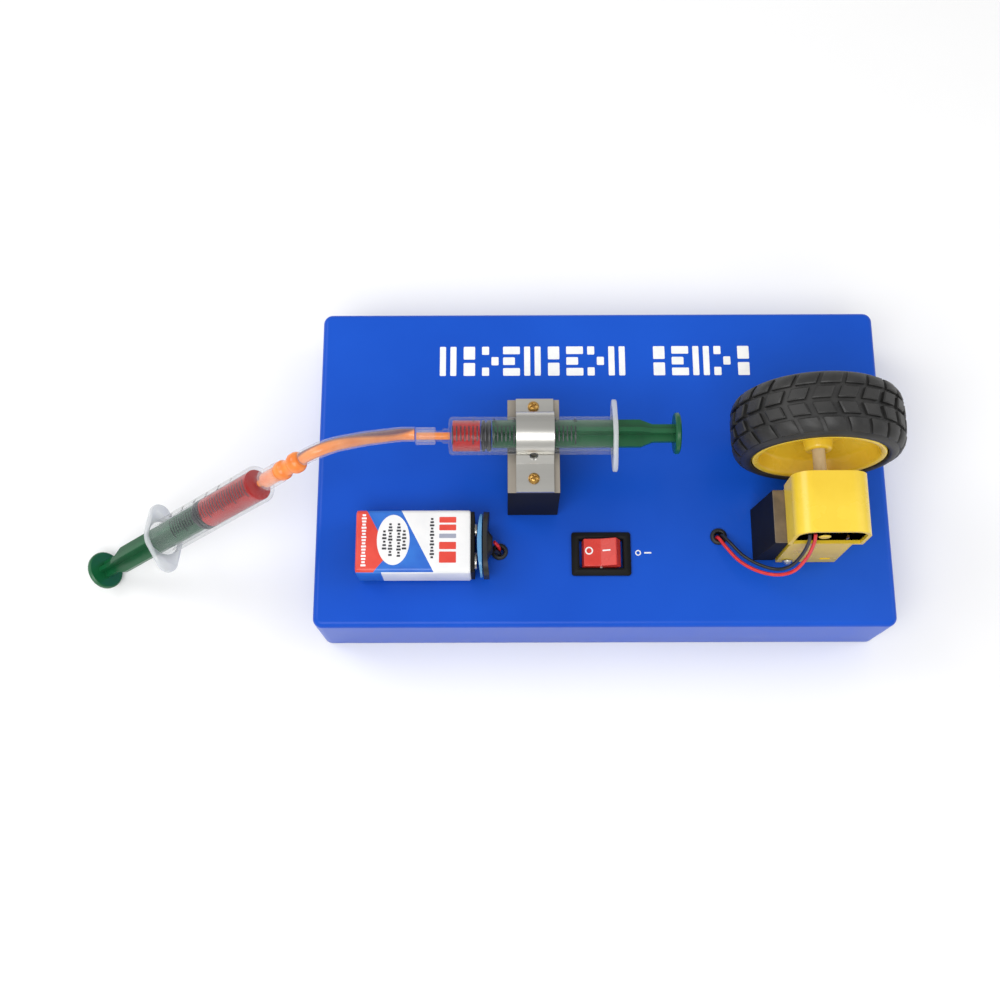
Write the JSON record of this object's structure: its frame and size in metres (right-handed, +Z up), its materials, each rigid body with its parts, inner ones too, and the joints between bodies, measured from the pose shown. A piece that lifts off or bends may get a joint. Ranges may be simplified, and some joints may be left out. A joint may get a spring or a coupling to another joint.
{
  "type": "hydraulic brake demonstration kit",
  "caption": "Desk model of a hydraulic brake: one syringe pushes another through a hose, and its plunger stops a motor-driven wheel on a flat base.",
  "frame": {"origin": "centre of the base's underside, on the table", "axes": "+X from the hose end to the wheel end, +Y to the back, +Z up; the wheel turns about Y"},
  "size_m": [0.3424, 0.139, 0.109],
  "materials": {
    "base_plastic": "smooth glossy blue, moulded",
    "black_plastic": "satin black",
    "rubber": "matt black rubber",
    "steel": "satin steel sheet and screws",
    "brass": "yellow brass, a little dull",
    "clear_plastic": "clear polypropylene, slightly milky",
    "green_plastic": "dark green moulded plastic",
    "red_fluid": "red coloured water",
    "orange_plastic": "translucent orange",
    "hose_plastic": "clear vinyl hose with orange fluid",
    "yellow_plastic": "bright yellow moulded plastic",
    "white_plastic": "white nylon",
    "tyre_rubber": "black ribbed rubber",
    "rocker_plastic": "red rocker with white marks",
    "battery_label": "printed foil in red, blue and white",
    "wire_red": "red wire insulation",
    "wire_black": "black wire insulation"
  },
  "bodies": {
    "base": {"base_shell": "base_plastic", "battery": "battery_label", "battery_grommet": "rubber", "battery_lead_black": "wire_black", "battery_lead_red": "wire_red", "battery_socket": "steel", "battery_stud": "steel", "battery_tape": "white_plastic", "bottom_cover": "black_plastic", "case_screw": "steel", "clamp_block": "black_plastic", "clamp_block_screw_back": "steel", "clamp_block_screw_front": "steel", "clamp_strap": "steel", "cover_screw_1": "steel", "cover_screw_2": "steel", "cover_screw_3": "steel", "cover_screw_4": "steel", "gearbox_lid": "yellow_plastic", "gearbox_plate": "yellow_plastic", "hose": "hose_plastic", "layshaft_pin": "steel", "master_barrel": "clear_plastic", "master_fluid": "red_fluid", "master_hose_connector": "orange_plastic", "master_hose_sleeve": "clear_plastic", "motor_block": "black_plastic", "motor_block_screw_back": "steel", "motor_block_screw_front": "steel", "motor_can": "steel", "motor_cover": "yellow_plastic", "motor_end_cap": "yellow_plastic", "motor_grommet": "rubber", "motor_lead_black": "wire_black", "motor_lead_red": "wire_red", "rocker_pin": "steel", "slave_barrel": "clear_plastic", "slave_fluid": "red_fluid", "slave_hose_sleeve": "clear_plastic", "snap_cover": "black_plastic", "snap_plate": "clear_plastic", "strap_screw_back": "brass", "strap_screw_front": "brass", "switch_body": "black_plastic", "switch_lead_red": "wire_red", "switch_terminal_1": "brass", "switch_terminal_2": "brass"},
    "wheel": {"wheel_rim": "yellow_plastic", "tyre": "tyre_rubber", "wheel_screw": "steel", "output_shaft": "white_plastic"},
    "layshaft_gear": {"compound_gear": "white_plastic"},
    "motor_armature": {"motor_rotor": "brass"},
    "rocker": {"switch_rocker": "rocker_plastic"},
    "slave_piston": {"slave_plunger": "green_plastic", "slave_piston_seal": "rubber"},
    "master_piston": {"master_plunger": "green_plastic", "master_piston_seal": "rubber"}
  },
  "joints": [
    {"name": "master_plunger_slide", "type": "slide", "parent": "base", "child": "master_piston", "axis": [0.73, 0.164, 0.6634], "range_m": [0, 0.0202], "deforming": ["master_fluid"]},
    {"name": "slave_plunger_slide", "type": "slide", "parent": "base", "child": "slave_piston", "axis": [1, 0, 0], "range_m": [0, 0.0202], "deforming": ["slave_fluid"]},
    {"name": "wheel_spin", "type": "hinge", "parent": "base", "child": "wheel", "pos_m": [0.083, 0.003, 0.075], "axis": [0, 1, 0], "continuous": true},
    {"name": "layshaft_spin", "type": "hinge", "parent": "base", "child": "layshaft_gear", "pos_m": [0.083, -0.022, 0.0631], "axis": [0, 1, 0], "continuous": true},
    {"name": "motor_spin", "type": "hinge", "parent": "base", "child": "motor_armature", "pos_m": [0.083, -0.03, 0.075], "axis": [0, 1, 0], "continuous": true},
    {"name": "rocker_tilt", "type": "hinge", "parent": "base", "child": "rocker", "pos_m": [-0.001, -0.0392, 0.0386], "axis": [0, 1, 0], "range_deg": [0, 18]}
  ],
  "couplings": [
    {"joint": "slave_plunger_slide", "follows": "master_plunger_slide", "ratio": 1},
    {"joint": "layshaft_spin", "follows": "wheel_spin", "ratio": -2.4},
    {"joint": "motor_spin", "follows": "wheel_spin", "ratio": 5.76}
  ]
}
